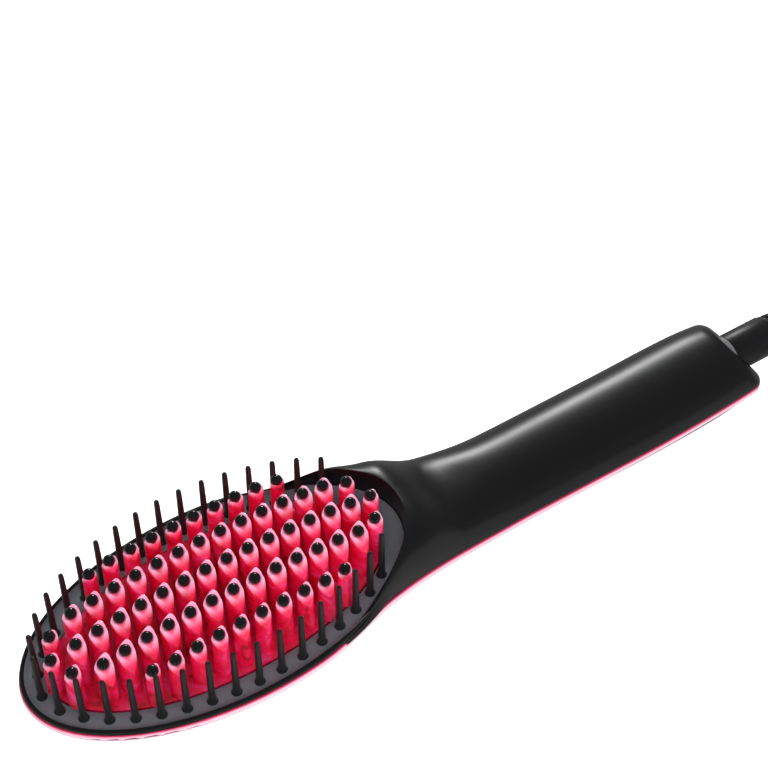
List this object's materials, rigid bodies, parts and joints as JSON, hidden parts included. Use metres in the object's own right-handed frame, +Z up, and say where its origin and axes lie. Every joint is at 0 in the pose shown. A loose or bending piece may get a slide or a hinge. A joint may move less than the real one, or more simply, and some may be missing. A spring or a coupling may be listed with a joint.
{
  "type": "hot straightening brush",
  "caption": "Paddle-shaped electric hot brush: heated studs with dark tips inside a ring of cool pins, a handle with a display and buttons, a swivel collar and a wound mains cord.",
  "frame": {"origin": "middle of the brush's length and width, at the level of the surface it lies on, back down", "axes": "+X from the head towards the handle and the cord, +Z up the way the pins and studs point, +Y to the left seen from the head"},
  "size_m": [0.4938, 0.1041, 0.0528],
  "materials": {
    "black_casing": "satin black",
    "pink_trim": "glossy pink",
    "grey_frame": "satin dark grey",
    "coated_plate": "glossy marbled red and pink coating",
    "black_beads": "glossy black",
    "ceramic": "matt",
    "steel": "brushed",
    "silver_panel": "satin",
    "dark_glass": "glossy",
    "board_green": "satin",
    "component_grey": "matt",
    "component_white": "matt",
    "component_blue": "glossy",
    "clear_lens": "clear",
    "wire_cover": "matt",
    "black_rubber": "matt",
    "plated_brass": "nickel plated"
  },
  "bodies": {
    "brush": {"front_shell": "black_casing", "back_shell": "black_casing", "trim_band": "pink_trim", "pin_frame": "grey_frame", "cool_pins": "grey_frame", "heating_plate": "coated_plate", "heating_studs": "coated_plate", "tip_beads": "black_beads", "heater_elements": "ceramic", "heater_straps": "steel", "strap_screws": "steel", "thermistor": "ceramic", "thermal_fuse": "steel", "heater_leads": "wire_cover", "shell_screws": "steel", "control_panel": "silver_panel", "display_window": "dark_glass", "lcd_module": "component_grey", "circuit_board": "board_green", "tact_switches": "component_grey", "power_relay": "component_white", "supply_capacitor": "component_blue", "board_screws": "steel", "led_lens": "clear_lens", "mains_leads": "wire_cover", "swivel_bush": "component_grey", "cord_lead": "black_rubber", "cord_coil": "black_rubber", "cord_tail": "black_rubber", "cord_ties": "black_rubber", "plug_body": "black_rubber", "plug_pins": "plated_brass"},
    "plus_key": {"plus_button": "black_casing"},
    "minus_key": {"minus_button": "black_casing"},
    "power_key": {"power_button": "black_casing"},
    "swivel": {"swivel_collar": "black_casing", "strain_relief": "black_rubber"}
  },
  "joints": [
    {"name": "plus_press", "type": "slide", "parent": "brush", "child": "plus_key", "axis": [0, 0, 1], "range_m": [0, 0.0008], "stiffness_N_per_m": 800, "springref_m": -0.0008},
    {"name": "minus_press", "type": "slide", "parent": "brush", "child": "minus_key", "axis": [0, 0, 1], "range_m": [0, 0.0008], "stiffness_N_per_m": 800, "springref_m": -0.0008},
    {"name": "power_press", "type": "slide", "parent": "brush", "child": "power_key", "axis": [0, 0, 1], "range_m": [0, 0.0008], "stiffness_N_per_m": 800, "springref_m": -0.0008},
    {"name": "cord_swivel", "type": "hinge", "parent": "brush", "child": "swivel", "pos_m": [0.1, 0, 0.01925], "axis": [1, 0, 0], "continuous": true}
  ]
}
